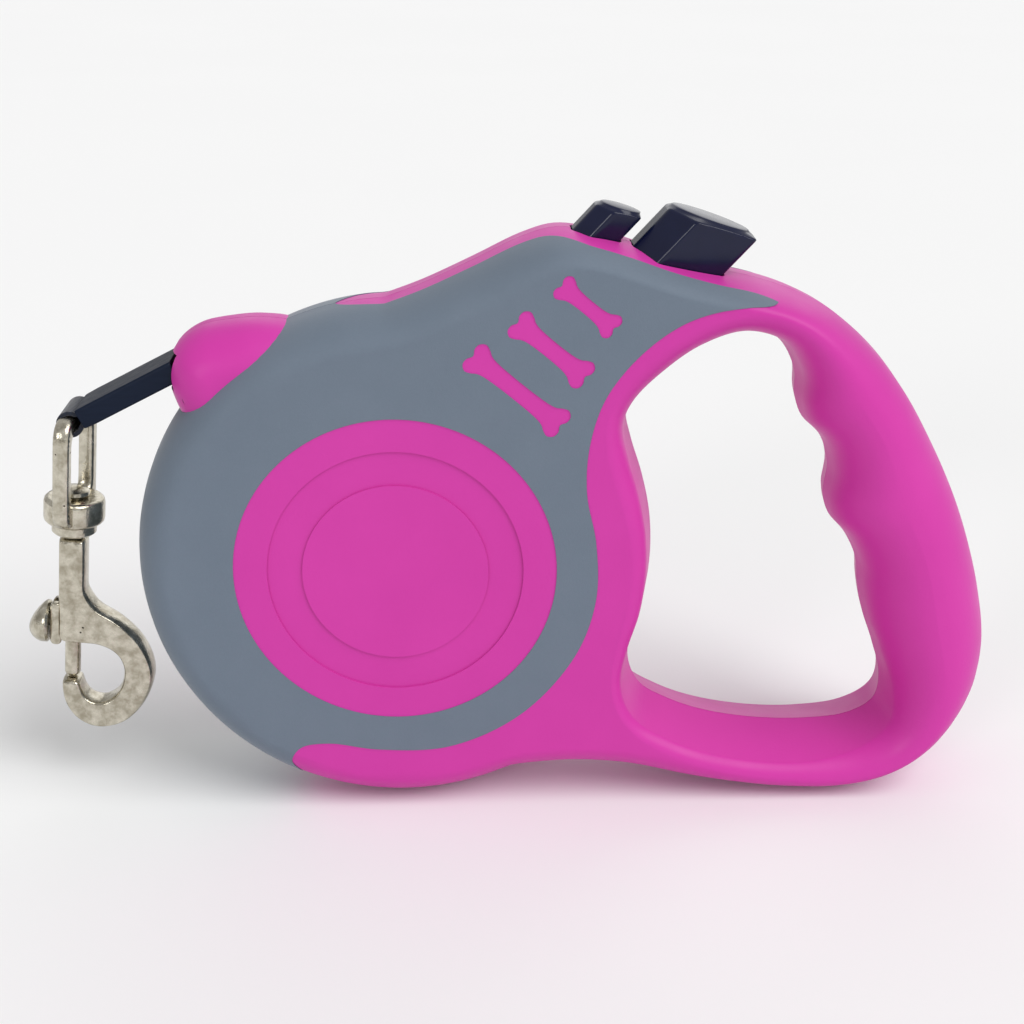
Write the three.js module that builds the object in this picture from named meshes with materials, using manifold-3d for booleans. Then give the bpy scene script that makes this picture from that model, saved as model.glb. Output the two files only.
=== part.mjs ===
// Retractable dog leash: a two-shell casing with a hand grip, a sprung tape reel,
// a brake button, a lock button, and a swivelling bolt snap on the end of the tape.
// Millimetres. +X runs towards the hand grip, +Y towards the rear shell, +Z up.
// Every shape is drawn about the reel's axis; the last lines stand the leash on its base.

import * as THREE from 'three';
import { mergeVertices } from 'three/addons/utils/BufferGeometryUtils.js';
import Module from 'manifold-3d';

const wasm = await Module();
wasm.setup();

// ---- Driving dimensions -------------------------------------------------

const GAP = 0.3;              // clearance between pieces that touch
const CASE_HALF = 13.3;       // half the casing's thickness
const EDGE = 3.8;             // rounding of the casing's edges
const WALL = 2.4;             // thickness of the casing's walls
const BODY_RADIUS = 47;       // round part of the casing, about the reel
const BODY_CENTRE = [0.5, -0.5];
const SKIN = 0.9;             // thickness of the soft grip skins

const DISC_RADIUS = 28.5;     // bare round field in the middle of each skin
const RING_OUTER = 22.6;      // shallow ring sunk into that field
const RING_INNER = 16.4;
const RING_DEPTH = 0.4;

const TAPE_WIDTH = 9.5;
const TAPE_THICK = 0.8;
const COIL_INNER = 24.3;
const COIL_OUTER = 36;

const AXLE_RADIUS = 2.5;
const AXLE_HALF = 10.4;       // half the axle pin's length
const BORE_RADIUS = 2.9;      // hole in the reel for the axle
const HUB_OUTER = 24;
const HUB_INNER = 21.5;
const REEL_FACE = 7.4;        // outer faces of the reel, from the middle of the casing
const REEL_PLATE = 1.4;       // thickness of the reel's two plates
const COVER_RIM = 1.3;        // locating rim on the cover, inside the hub
const FLANGE_RADIUS = 38.6;
const TOOTH_RADIUS = 41.6;
const TOOTH_COUNT = 24;

const BUTTON_LEAN = THREE.MathUtils.degToRad(43);   // both buttons slide towards the reel's axis
const HOOK_LEAN = THREE.MathUtils.degToRad(6);      // the snap hangs slightly back
const EYE_TURN = THREE.MathUtils.degToRad(-7);      // the eye is turned a little on its neck
const SLEEVE_TURN = THREE.MathUtils.degToRad(153.1);
const SLEEVE_START = [-37.4, 34.95];
const SLEEVE_LENGTH = 18.3;
const SLEEVE_HALF = 1.9;      // half the sleeve's thickness
const EYE_BAR = 21.3;         // distance from the sleeve's start to the eye's bar

// The buttons, in the frame of their slide: plan [across, y], foot, heights of the top at its
// two ends, and the slot in the casing.
const BRAKE = {
  plan: [[-7.4, -2.5], [-3.3, -7], [7.2, -4], [7.2, 4], [-3.3, 7], [-7.4, 2.5]],
  foot: 60,
  top: [77.9, 84.4],
  slot: { across: [-7.9, 7.7], half: 7.5, low: 61 },
};
const LOCK = {
  plan: [[-16.9, -1.9], [-14.2, -4.4], [-9.7, -2.7], [-9.7, 2.7], [-14.2, 4.4], [-16.9, 1.9]],
  foot: 56,
  top: [69.9, 73.5],
  slot: { across: [-17.4, -9.2], half: 4.9, low: 57 },
};
const BRAKE_SPRING = { across: 4.2, low: 52.2, high: 63.8 };
const POCKET_RADIUS = 2.65;   // pocket in the brake button that holds its spring

// Casing outline above and beyond the round body, from the body's top round to its underside.
const CASE_SPLINE = [
  [-1.1, 46.5], [5.3, 48.9], [14, 52.9], [22.6, 57], [28.5, 58.6], [34.5, 57.9], [41, 56], [48, 53.5],
  [56, 51.2], [63, 49.6], [70, 47.3], [76.7, 43.8], [84.3, 37.4], [90.7, 29.4], [96.1, 20.4], [100.9, 10.9],
  [104.4, 2], [107.4, -8], [109.2, -18.5], [107.9, -28.6], [102.5, -37.6], [93.5, -44.1],
  [83.1, -47.4], [72.5, -47.7], [62, -46.6], [51.7, -44.9], [42, -42.8], [31.6, -42], [21.1, -42.7],
];

// Opening for the hand, with three finger ridges on the far side.
const HAND_SPLINE = [
  [61, 41.1], [54, 39], [48, 34.8], [42.8, 29.4], [41.4, 25.6], [42.4, 20.5], [44.6, 13.5], [46.2, 6],
  [46.6, -2], [45.7, -10], [43.7, -17.5], [43, -23.5], [45.3, -29], [51, -32.6], [58, -35.2],
  [68, -37], [78, -37.3], [86, -36.2], [90.6, -33.2], [91.4, -28], [89.4, -20.8], [87, -14.2],
  [85.7, -8.5], [85.1, -3.9], [82.5, 1.5], [79.2, 5.4], [78, 9.4], [78.4, 15], [76.7, 20.4], [73, 24.3],
  [71.6, 28.2], [71.2, 33], [67.8, 38.8],
];

const NOZZLE_SPLINE = [
  [-16.5, 42], [-22.3, 43.2], [-28, 42.9], [-33.5, 41.7], [-37.4, 38.8], [-38.9, 34.6], [-38.3, 30.2],
  [-35.5, 24.5], [-29, 20], [-20, 19], [-12.5, 25], [-11, 35],
];
const NOZZLE_HALF = 10.5;
const NOZZLE_EDGE = 3.4;

// Right-hand edge of the grip skin, from its tip above the hand opening to the lower left.
const SKIN_SPLINE = [
  [67.3, 50.2], [67.1, 48.6], [65.4, 47.5], [60, 47.3], [55, 46.6], [50, 44.9], [45, 41.7], [40, 36.8],
  [36.2, 31],
  [33.9, 23], [33.6, 14.5], [35.4, 5], [35.5, -6], [31.8, -17], [22, -28.5], [9, -34.8], [-4, -35.2],
  [-13, -33.8], [-18.2, -34.6], [-20, -37.4], [-18.6, -41],
];

// Bare strip along the top of the casing, seen from above: [x, y].
const STRIP_PLAN = [
  [-9, 0], [-6, -2.8], [0, -4.2], [26, -4.6], [34, -9], [61, -9], [65.5, -10], [68, -12], [80, -12],
  [80, 12], [68, 12], [65.5, 10], [61, 9], [2, 9], [-5, 6],
];

// The three bones: middle point, length, and half the width across their ends.
const BONES = [
  { x: 21.4, z: 33.3, length: 20.5, half: 2.95 },
  { x: 27.2, z: 40.4, length: 16, half: 2.8 },
  { x: 33.2, z: 47.7, length: 12.4, half: 2.35 },
];
const BONE_LEAN = THREE.MathUtils.degToRad(-40);

// Case screws: place, and how deep the head's seat lies from the middle of the casing.
const SCREWS = [
  { x: 19, z: 49.5, seat: 10.2 },
  { x: 78.2, z: 35.8, seat: 10.2 },
  { x: 93, z: 0, seat: 10.2 },
  { x: 97.6, z: -33.5, seat: 10.2 },
  { x: 31, z: -35.6, seat: 10.2 },
  { x: -34.4, z: 30.8, seat: 4.6 },
];

const SCREW_HEAD = 2.5;
const SCREW_SHANK = 1.3;
const SCREW_TIP = -7.5;
const BOSS_RADIUS = 3.8;
const BOSS_END = CASE_HALF - 1;
const AXLE_BOSS_RADIUS = 6;
const AXLE_BOSS_END = 7.8;    // the axle bosses stop just short of the reel
const MOUTH = { x: [-45, -30], y: [-5.9, 5.9], z: [31.5, 38] };
const BEYOND = 20;            // past the outside of the casing, in y

const COLOURS = {
  shell: { color: 0xd046a8, roughness: 0.5, metalness: 0 },
  skin: { color: 0x6a7685, roughness: 0.75, metalness: 0 },
  button: { color: 0x141b2e, roughness: 0.2, metalness: 0 },
  tape: { color: 0x101725, roughness: 0.85, metalness: 0 },
  sleeve: { color: 0x0f1626, roughness: 0.4, metalness: 0 },
  reel: { color: 0xe4e4df, roughness: 0.45, metalness: 0 },
  steel: { color: 0xa8abb0, roughness: 0.35, metalness: 1 },
  nickel: { color: 0xc4bfb4, roughness: 0.3, metalness: 1 },
};

// ---- Solids -------------------------------------------------------------

// A geometry as a solid that can be joined and cut, its faces pointing outwards.
function solidOf(shape) {
  if (!shape.isBufferGeometry) return shape;
  shape.deleteAttribute('normal');
  shape.deleteAttribute('uv');
  const merged = mergeVertices(shape, 1e-4);
  const vertProperties = new Float32Array(merged.attributes.position.array);
  const triVerts = new Uint32Array(merged.index.array);
  const solid = new wasm.Manifold(new wasm.Mesh({ numProp: 3, vertProperties, triVerts }));
  if (solid.volume() > 0) return solid;
  return new wasm.Manifold(new wasm.Mesh({ numProp: 3, vertProperties, triVerts: triVerts.reverse() }));
}

function geometryOf(solid) {
  const mesh = solidOf(solid).getMesh();
  const geometry = new THREE.BufferGeometry();
  geometry.setAttribute('position', new THREE.BufferAttribute(mesh.vertProperties, 3));
  geometry.setIndex(new THREE.BufferAttribute(mesh.triVerts, 1));
  geometry.computeVertexNormals();
  return geometry;
}

function join(...shapes) {
  return shapes.map(solidOf).reduce((whole, shape) => whole.add(shape));
}

function cut(shape, ...tools) {
  return tools.map(solidOf).reduce((whole, tool) => whole.subtract(tool), solidOf(shape));
}

function common(...shapes) {
  return shapes.map(solidOf).reduce((whole, shape) => whole.intersect(shape));
}

// ---- Outlines and plain shapes ------------------------------------------

function polygon(pairs) {
  return pairs.map(([x, z]) => new THREE.Vector2(x, z));
}

function spline(pairs, steps, closed = false) {
  const path = pairs.map(([x, z]) => new THREE.Vector3(x, z, 0));
  const curve = new THREE.CatmullRomCurve3(path, closed, 'centripetal');
  const line = curve.getPoints(steps).map((p) => new THREE.Vector2(p.x, p.y));
  return closed ? line.slice(0, -1) : line;
}

function arc([x, z], radius, fromDegrees, toDegrees, steps) {
  return Array.from({ length: steps + 1 }, (_, i) => {
    const angle = THREE.MathUtils.degToRad(fromDegrees + ((toDegrees - fromDegrees) * i) / steps);
    return new THREE.Vector2(x + radius * Math.cos(angle), z + radius * Math.sin(angle));
  });
}

// A plate in the X-Z plane between two values of y. `edge` rounds its rim, and `inset`
// moves its outline and its holes into the material.
function slab(points, [yLow, yHigh], { edge = 0, inset = 0, holes = [], segments = 2 } = {}) {
  const shape = new THREE.Shape(points);
  shape.holes = holes.map((hole) => new THREE.Path(hole));
  const rim = edge || 0.01;
  const geometry = new THREE.ExtrudeGeometry(shape, {
    depth: yHigh - yLow - 2 * rim,
    steps: 1,
    bevelThickness: rim,
    bevelSize: edge,
    bevelOffset: -edge - inset,
    bevelSegments: edge ? segments : 1,
  });
  geometry.translate(0, 0, rim - yHigh);
  return geometry.rotateX(Math.PI / 2);
}

// A ring or disc turned about the Y axis from [radius, y] pairs: the run closes on itself,
// or starts and ends on the axis.
function turned(pairs, segments = 36) {
  const onAxis = pairs[0][0] === 0;
  return new THREE.LatheGeometry(polygon(onAxis ? pairs : [...pairs, pairs[0]]), segments);
}

// The same about the Z axis, from [radius, z] pairs.
function turnedUpright(pairs, segments = 20) {
  return turned(pairs, segments).rotateX(Math.PI / 2);
}

function block([xLow, xHigh], [yLow, yHigh], [zLow, zHigh]) {
  const geometry = new THREE.BoxGeometry(xHigh - xLow, yHigh - yLow, zHigh - zLow);
  return geometry.translate((xLow + xHigh) / 2, (yLow + yHigh) / 2, (zLow + zHigh) / 2);
}

function peg([x, z], radius, [yLow, yHigh], segments = 10) {
  const geometry = new THREE.CylinderGeometry(radius, radius, yHigh - yLow, segments);
  return geometry.translate(x, (yLow + yHigh) / 2, z);
}

// A wire wound into a helix about the Z axis.
class Helix extends THREE.Curve {
  constructor(radius, zLow, zHigh, turns) {
    super();
    Object.assign(this, { radius, zLow, zHigh, turns });
  }

  getPoint(t, target = new THREE.Vector3()) {
    const angle = 2 * Math.PI * this.turns * t;
    const z = this.zLow + (this.zHigh - this.zLow) * t;
    return target.set(this.radius * Math.cos(angle), this.radius * Math.sin(angle), z);
  }
}

function coilSpring(radius, wire, zLow, zHigh, turns) {
  const section = new THREE.Shape(arc([0, 0], wire / 2, 0, 288, 4));
  const extrudePath = new Helix(radius, zLow, zHigh, turns);
  return new THREE.ExtrudeGeometry(section, { extrudePath, steps: turns * 8, bevelEnabled: false });
}

// A shape drawn across and along the slide of the buttons, turned into place.
function leaned(geometry) {
  return geometry.rotateY(BUTTON_LEAN);
}

// ---- Casing -------------------------------------------------------------

const caseOutline = [
  ...arc(BODY_CENTRE, BODY_RADIUS, -64, -268, 22),
  ...spline(CASE_SPLINE, 44).slice(1, -1),
];
const handOutline = spline(HAND_SPLINE, 44, true);
const nozzleOutline = spline(NOZZLE_SPLINE, 18, true);

function bodySolid(inset) {
  const half = CASE_HALF - inset;
  return solidOf(slab(caseOutline, [-half, half], { edge: EDGE - inset, inset, holes: [handOutline] }));
}

function nozzleSolid(inset) {
  const half = NOZZLE_HALF - inset;
  return solidOf(slab(nozzleOutline, [-half, half], { edge: NOZZLE_EDGE - inset, inset }));
}

// A bone: two small knuckles at each end of a straight shaft, leaning down to the right.
function boneOutline({ x, z, length, half }) {
  const end = length / 2;
  const knuckle = [
    [-0.2, 0], [-0.01, 0.38], [-0.05, 0.76], [-0.38, 1], [-0.75, 0.88], [-1.05, 0.69], [-1.6, 0.57],
  ];
  const upper = knuckle.map(([along, across]) => [end + along * half, across * half]);
  const lower = upper.slice(1).map(([along, across]) => [along, -across]).reverse();
  const right = [...lower, ...upper];
  const left = right.map(([along, across]) => [-along, -across]);
  const turn = (p) => p.rotateAround(new THREE.Vector2(0, 0), BONE_LEAN).add(new THREE.Vector2(x, z));
  return spline([...right, ...left], 52, true).map(turn);
}

// Everything the grip skins cover, moved outwards by `grow`, through the whole casing.
function skinField(grow) {
  const through = [-BEYOND, BEYOND];
  const outline = [...spline(SKIN_SPLINE, 32), ...polygon([[-18.6, -70], [-80, -70], [-80, 80], [67.3, 80]])];
  const strip = new THREE.ExtrudeGeometry(new THREE.Shape(polygon(STRIP_PLAN)), {
    depth: 60,
    bevelThickness: 0.01,
    bevelSize: 0,
    bevelOffset: -grow,
    bevelSegments: 1,
  });
  return cut(
    slab(outline, through, { inset: -grow }),
    peg([0, 0], DISC_RADIUS - grow, through, 36),
    ...BONES.map((bone) => slab(boneOutline(bone), through, { inset: grow })),
    strip.translate(0, 0, 30),
    nozzleSolid(grow - GAP),
  );
}

// The skin's layer on the outside of the casing, `depth` thick.
function skinLayer(depth, grow) {
  return common(cut(bodySolid(-0.01), bodySolid(depth)), skinField(grow));
}

function buttonSlot({ slot }) {
  return leaned(block(slot.across, [-slot.half, slot.half], [slot.low, 95]));
}

// The shallow ring sunk into one face of the casing: side is -1 in front, 1 at the rear.
function ringGroove(side) {
  const [deep, out] = [side * (CASE_HALF - RING_DEPTH), side * BEYOND];
  return turned([[RING_INNER, out], [RING_OUTER, out], [RING_OUTER, deep], [RING_INNER, deep]]);
}

function casing() {
  const outside = join(bodySolid(0), nozzleSolid(0));
  const inside = join(bodySolid(WALL), nozzleSolid(WALL));
  const bosses = SCREWS.map(({ x, z }) => peg([x, z], BOSS_RADIUS, [-BOSS_END, BOSS_END]));
  const axleBoss = turned([
    [0, -BOSS_END], [AXLE_BOSS_RADIUS, -BOSS_END], [AXLE_BOSS_RADIUS, -AXLE_BOSS_END], [0, -AXLE_BOSS_END],
  ], 20);
  const springShelf = leaned(block([1.6, 9.4], [-11.2, 11.2], [50, BRAKE_SPRING.low - 0.6]));
  const filled = join(
    cut(outside, inside),
    axleBoss,
    axleBoss.clone().rotateX(Math.PI),
    common(join(...bosses, springShelf), outside),
  );
  return cut(
    filled,
    buttonSlot(BRAKE),
    buttonSlot(LOCK),
    block(MOUTH.x, MOUTH.y, MOUTH.z),
    peg([0, 0], AXLE_RADIUS + GAP, [-AXLE_HALF - 0.4, AXLE_HALF + 0.4], 20),
    ringGroove(-1),
    ringGroove(1),
    ...SCREWS.map(({ x, z, seat }) => peg([x, z], SCREW_HEAD + GAP, [seat, BEYOND])),
    ...SCREWS.map(({ x, z }) => peg([x, z], SCREW_SHANK + GAP, [SCREW_TIP - 0.5, BEYOND])),
    skinLayer(SKIN + GAP, GAP),
  );
}

function sideOf(shape, side) {
  const y = side === 'front' ? [-30, -GAP / 2] : [GAP / 2, 30];
  return common(shape, block([-120, 160], y, [-90, 110]));
}

// ---- Reel and spring ----------------------------------------------------

function ratchetOutline() {
  const pitch = 360 / TOOTH_COUNT;
  const firstGap = 90 - THREE.MathUtils.radToDeg(BUTTON_LEAN);
  const tooth = [[0.3, FLANGE_RADIUS], [0.4, TOOTH_RADIUS], [0.58, TOOTH_RADIUS], [0.7, FLANGE_RADIUS]];
  return Array.from({ length: TOOTH_COUNT }, (_, i) => tooth.map(([share, radius]) => {
    const angle = THREE.MathUtils.degToRad(firstGap + pitch * (i + share));
    return new THREE.Vector2(radius * Math.cos(angle), radius * Math.sin(angle));
  })).flat();
}

function reel() {
  const bore = arc([0, 0], BORE_RADIUS, 0, 342, 19);
  const [low, high] = [REEL_PLATE - REEL_FACE + GAP, REEL_FACE - REEL_PLATE / 2];
  const hub = turned([[HUB_INNER, low], [HUB_OUTER, low], [HUB_OUTER, high], [HUB_INNER, high]]);
  return join(slab(ratchetOutline(), [REEL_FACE - REEL_PLATE, REEL_FACE], { holes: [bore] }), hub);
}

function reelCover() {
  const [face, back, rim] = [-REEL_FACE, REEL_PLATE - REEL_FACE, 2 * REEL_PLATE - REEL_FACE];
  const rimOuter = HUB_INNER - GAP;
  const rimInner = rimOuter - COVER_RIM;
  return turned([
    [BORE_RADIUS, face], [FLANGE_RADIUS, face], [FLANGE_RADIUS, back], [rimOuter, back],
    [rimOuter, rim], [rimInner, rim], [rimInner, back], [BORE_RADIUS, back],
  ]);
}

// A strip wound into a flat spiral from the axle out to the hub.
function clockSpring() {
  const turns = 5;
  const steps = turns * 12;
  const [inner, outer, strip] = [3.4, 18.9, 0.5];
  const edgeAt = (offset) => Array.from({ length: steps + 1 }, (_, i) => {
    const angle = (2 * Math.PI * turns * i) / steps;
    const radius = inner + ((outer - inner) * i) / steps + offset;
    return new THREE.Vector2(radius * Math.cos(angle), radius * Math.sin(angle));
  });
  return slab([...edgeAt(0), ...edgeAt(strip).reverse()], [-4.2, 5.4]);
}

function tapeCoil() {
  const half = TAPE_WIDTH / 2;
  return turned([[COIL_INNER, -half], [COIL_OUTER, -half], [COIL_OUTER, half], [COIL_INNER, half]]);
}

// The first straight run of the tape, from the top of the coil to the mouth of the casing.
function tapeLead() {
  const [coilTop, mouth] = [COIL_OUTER + GAP, -36.5];
  const outline = [
    [0, coilTop], [0, coilTop + TAPE_THICK], [mouth, coilTop + TAPE_THICK - 1], [mouth, coilTop - 1],
  ];
  return slab(polygon(outline), [-TAPE_WIDTH / 2, TAPE_WIDTH / 2]);
}

// ---- Buttons, in the frame of their slide -------------------------------

// A cap of the given plan [across, y], cut off square below and along a slope above.
function buttonCap({ plan, foot, top: [topLeft, topRight] }) {
  const across = plan.map(([x]) => x);
  const [left, right] = [Math.min(...across), Math.max(...across)];
  const column = new THREE.ExtrudeGeometry(new THREE.Shape(polygon(plan)), { depth: 100, bevelEnabled: false });
  const side = polygon([[left, foot], [right, foot], [right, topRight], [left, topLeft]]);
  return common(column, slab(side, [-BEYOND, BEYOND]));
}

function brakeButton() {
  const tooth = polygon([[-1.4, 61], [-1.4, 45], [-0.5, 42.8], [0.5, 42.8], [1.4, 45], [1.4, 61]]);
  const pawl = slab(tooth, [-6.8, 7.5]);
  const pocketTop = BRAKE_SPRING.high + 0.7;
  const pocket = turnedUpright([[0, 50], [POCKET_RADIUS, 50], [POCKET_RADIUS, pocketTop], [0, pocketTop]]);
  return cut(join(buttonCap(BRAKE), pawl), pocket.translate(BRAKE_SPRING.across, 0, 0));
}

function brakeSpring() {
  return coilSpring(2.1, 0.5, BRAKE_SPRING.low, BRAKE_SPRING.high, 5).translate(BRAKE_SPRING.across, 0, 0);
}

function lockButton() {
  const latch = slab(polygon([[-13.5, 54], [-10.8, 54], [-9.1, 55.5], [-9.1, 57], [-13.5, 57]]), [-2.5, 2.5]);
  return join(buttonCap(LOCK), latch);
}

// ---- Tape end, in the frame of the sleeve: X along it from the casing ----

function tapeSleeve() {
  const [halfWidth, innerWidth] = [TAPE_WIDTH / 2 + 0.65, TAPE_WIDTH / 2 + GAP];
  const innerThick = TAPE_THICK + 0.35;
  const outside = block([0, SLEEVE_LENGTH], [-halfWidth, halfWidth], [-SLEEVE_HALF, SLEEVE_HALF]);
  const inside = block([-1, SLEEVE_LENGTH + 1], [-innerWidth, innerWidth], [-innerThick, innerThick]);
  return cut(outside, inside);
}

function tapeLoop() {
  const inner = 2.15;
  const outer = inner + TAPE_THICK;
  const open = THREE.MathUtils.radToDeg(Math.asin(TAPE_THICK / outer));
  const outline = [
    ...polygon([[1, TAPE_THICK], [1, -TAPE_THICK]]),
    ...arc([EYE_BAR, 0], outer, 180 + open, 540 - open, 20),
  ];
  const width = [-TAPE_WIDTH / 2, TAPE_WIDTH / 2];
  return cut(slab(outline, width), peg([EYE_BAR, 0], inner, [-20, 20]));
}

// ---- Snap hook, in its own frame: Z along it, 0 at the eye's bar ---------

function swivelEye() {
  const post = (side) => block([-1.4, 1.4], [side * 6.9 - 1.3, side * 6.9 + 1.3], [-19.6, 0]);
  const collar = turnedUpright([[0, -22], [4, -22], [4, -19.8], [5.3, -19.8], [5.3, -15], [0, -15]], 28);
  const rail = block([-1.4, 1.4], [-8.2, 8.2], [-19.6, -16]);
  const frame = join(post(-1), post(1), peg([0, 0], 1.35, [-8.2, 8.2]), rail, collar);
  return cut(frame, turnedUpright([[0, -30], [1.9, -30], [1.9, -10], [0, -10]], 16));
}

function hookBody() {
  const outline = [
    ...polygon([[-2.5, -22.4], [2.5, -22.4]]),
    ...spline([[2.5, -33.2], [4.6, -36.2], [8.6, -38.5], [13, -42.8], [15.3, -48.8], [13.8, -55],
      [9.9, -59.6], [5, -60.9], [1.2, -59.3], [-1, -56.2], [-1.7, -53]], 24),
    ...polygon([[-1.7, -51.2], [1.8, -51.2]]),
    ...spline([[2, -52.8], [3.3, -54.8], [5.7, -55.4], [8.6, -53.3], [9.8, -49],
      [8.9, -46], [6.9, -44.3], [4.6, -43.6]], 18),
    ...polygon([[-1.7, -43.6], [-2.5, -42.8]]),
  ];
  const stem = turnedUpright([[0, -23], [1.6, -23], [1.6, -14.7], [2.7, -14.7], [2.4, -13.5], [0, -13.2]]);
  const guide = block([-3.7, -2], [-1.9, 1.9], [-44.1, -36]);
  return cut(
    join(slab(outline, [-2.6, 2.6], { edge: 0.6, segments: 1 }), stem, guide),
    turnedUpright([[0, -45], [1.75, -45], [1.75, -28], [0, -28]], 14),
    block([-6, -0.5], [-0.8, 0.8], [-41.3, -29.2]),
  );
}

function snapBolt() {
  const pin = turnedUpright([[0, -50.9], [1.2, -50.9], [1.45, -50.5], [1.45, -35.2], [0, -35.2]], 16);
  const neck = block([-4.6, -0.8], [-0.5, 0.5], [-41, -38.2]);
  const knob = turnedUpright([[0, 0], [3.9, 0], [3.8, 1.2], [2.7, 2.9], [1.2, 3.8], [0, 3.9]]);
  return join(pin, neck, knob.rotateY(-Math.PI / 2).translate(-4.1, 0, -39.6));
}

// ---- Screws -------------------------------------------------------------

function caseScrew({ x, z, seat }) {
  return turned([
    [0, SCREW_TIP], [SCREW_SHANK - 0.4, SCREW_TIP + 1], [SCREW_SHANK, SCREW_TIP + 2.5],
    [SCREW_SHANK, seat + GAP], [SCREW_HEAD, seat + GAP], [SCREW_HEAD, seat + 1.4],
    [1.6, seat + 2.2], [0, seat + 2.2],
  ], 10).translate(x, 0, z);
}

// ---- Assembly -----------------------------------------------------------

function piece(name, shape, finish) {
  const mesh = new THREE.Mesh(geometryOf(shape), new THREE.MeshStandardMaterial(COLOURS[finish]));
  mesh.name = name;
  return mesh;
}

function placed(parts, [x, z], turn) {
  const group = new THREE.Group();
  group.add(...parts);
  group.position.set(x, 0, z);
  group.rotation.y = turn;
  return group;
}

function tapeEnd() {
  const eye = new THREE.Group();
  eye.add(piece('swivel_eye', swivelEye(), 'nickel'));
  eye.rotation.z = EYE_TURN;
  const snap = placed([
    eye,
    piece('hook_body', hookBody(), 'nickel'),
    piece('snap_bolt', snapBolt(), 'nickel'),
    piece('bolt_spring', coilSpring(1.15, 0.4, -34.9, -28.4, 5), 'steel'),
  ], [EYE_BAR, 0], HOOK_LEAN - SLEEVE_TURN);
  return placed([
    piece('tape_sleeve', tapeSleeve(), 'sleeve'),
    piece('tape_loop', tapeLoop(), 'tape'),
    snap,
  ], SLEEVE_START, SLEEVE_TURN);
}

function leash() {
  const shell = casing();
  const skin = skinLayer(SKIN, 0);
  const group = new THREE.Group();
  group.add(
    piece('front_shell', sideOf(shell, 'front'), 'shell'),
    piece('rear_shell', sideOf(shell, 'rear'), 'shell'),
    piece('front_grip_skin', sideOf(skin, 'front'), 'skin'),
    piece('rear_grip_skin', sideOf(skin, 'rear'), 'skin'),
    piece('axle_pin', peg([0, 0], AXLE_RADIUS, [-AXLE_HALF, AXLE_HALF], 20), 'steel'),
    piece('reel', reel(), 'reel'),
    piece('reel_cover', reelCover(), 'reel'),
    piece('clock_spring', clockSpring(), 'steel'),
    piece('tape_coil', tapeCoil(), 'tape'),
    piece('tape_lead', tapeLead(), 'tape'),
    ...SCREWS.map((screw, i) => piece(`case_screw_${i + 1}`, caseScrew(screw), 'steel')),
    placed([
      piece('brake_button', brakeButton(), 'button'),
      piece('lock_button', lockButton(), 'button'),
      piece('brake_spring', brakeSpring(), 'steel'),
    ], [0, 0], BUTTON_LEAN),
    tapeEnd(),
  );
  return group;
}

const model = leash();
const box = new THREE.Box3().setFromObject(model, true);
model.position.set(-(box.min.x + box.max.x) / 2, -(box.min.y + box.max.y) / 2, -box.min.z);

export default model;
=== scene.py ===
"""A retractable dog leash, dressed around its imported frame.

Shapes are drawn in millimetres about the reel's axis, with x towards the hand grip, y towards the
rear shell and z up. CASE, BUTTONS, SLEEVE, HOOK and EYE then put each piece in its place in metres.
"""

import math

import bmesh
import bpy
import numpy as np
from mathutils import Matrix, Vector


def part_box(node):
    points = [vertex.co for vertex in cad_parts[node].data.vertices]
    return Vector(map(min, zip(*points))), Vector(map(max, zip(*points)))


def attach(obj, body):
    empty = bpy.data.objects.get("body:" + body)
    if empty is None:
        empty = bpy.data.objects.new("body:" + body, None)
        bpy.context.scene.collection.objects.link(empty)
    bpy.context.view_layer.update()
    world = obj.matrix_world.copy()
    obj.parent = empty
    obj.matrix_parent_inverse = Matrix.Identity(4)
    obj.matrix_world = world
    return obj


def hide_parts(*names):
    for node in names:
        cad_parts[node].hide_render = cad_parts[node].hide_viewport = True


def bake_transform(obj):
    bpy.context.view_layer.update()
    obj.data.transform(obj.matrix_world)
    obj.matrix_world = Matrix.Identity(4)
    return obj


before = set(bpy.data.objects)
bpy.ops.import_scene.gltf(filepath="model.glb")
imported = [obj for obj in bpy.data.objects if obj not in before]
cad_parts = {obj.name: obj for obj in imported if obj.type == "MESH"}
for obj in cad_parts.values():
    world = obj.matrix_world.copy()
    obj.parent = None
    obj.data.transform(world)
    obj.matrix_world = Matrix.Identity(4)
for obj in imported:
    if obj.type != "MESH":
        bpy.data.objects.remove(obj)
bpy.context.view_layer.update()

# ---- Driving dimensions, in millimetres -----------------------------------

CASE_HALF = 13.3            # half the casing's thickness
WALL = 2.4
BODY_RADIUS = 47
BODY_CENTRE = (0.5, -0.5)
# How far the casing's edges round over: in its plane, and across it.
BODY_REACH, BODY_RISE = 5.6, 10.6
GRIP_REACH, GRIP_RISE = 9.5, 10.3
GRIP_STARTS, GRIP_FULL = 55, 84
BUTTON_REACH = 3.4          # along the top beside the buttons, from one x to another and above a z
BUTTONS_FROM, BUTTONS_TO, BUTTONS_ABOVE = 24, 70, 40
HAND_SHARE = 0.43           # most of the casing's breadth that the hand opening's edge takes up
DRAFT = math.tan(math.radians(3))
OPENING_DRAFT = math.tan(math.radians(6.5))
SEAM = 0.07                 # half the gap between the two shells
BEYOND = 20                 # past the outside of the casing, in y

SKIN = 0.9                  # thickness of the soft grip skins
SKIN_PROUD = 0.14
DISC_RADIUS = 28.5          # bare round field in each skin, and the ring sunk into it
RING_OUTER = 22.6
RING_INNER = 16.4
RING_DEPTH = 0.35

NOZZLE_HALF = 10.5
NOZZLE_REACH, NOZZLE_RISE = 7.6, 9
TAPE_MOUTH = ((-45, -30), (-5.9, 5.9), (31.5, 38))

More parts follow.
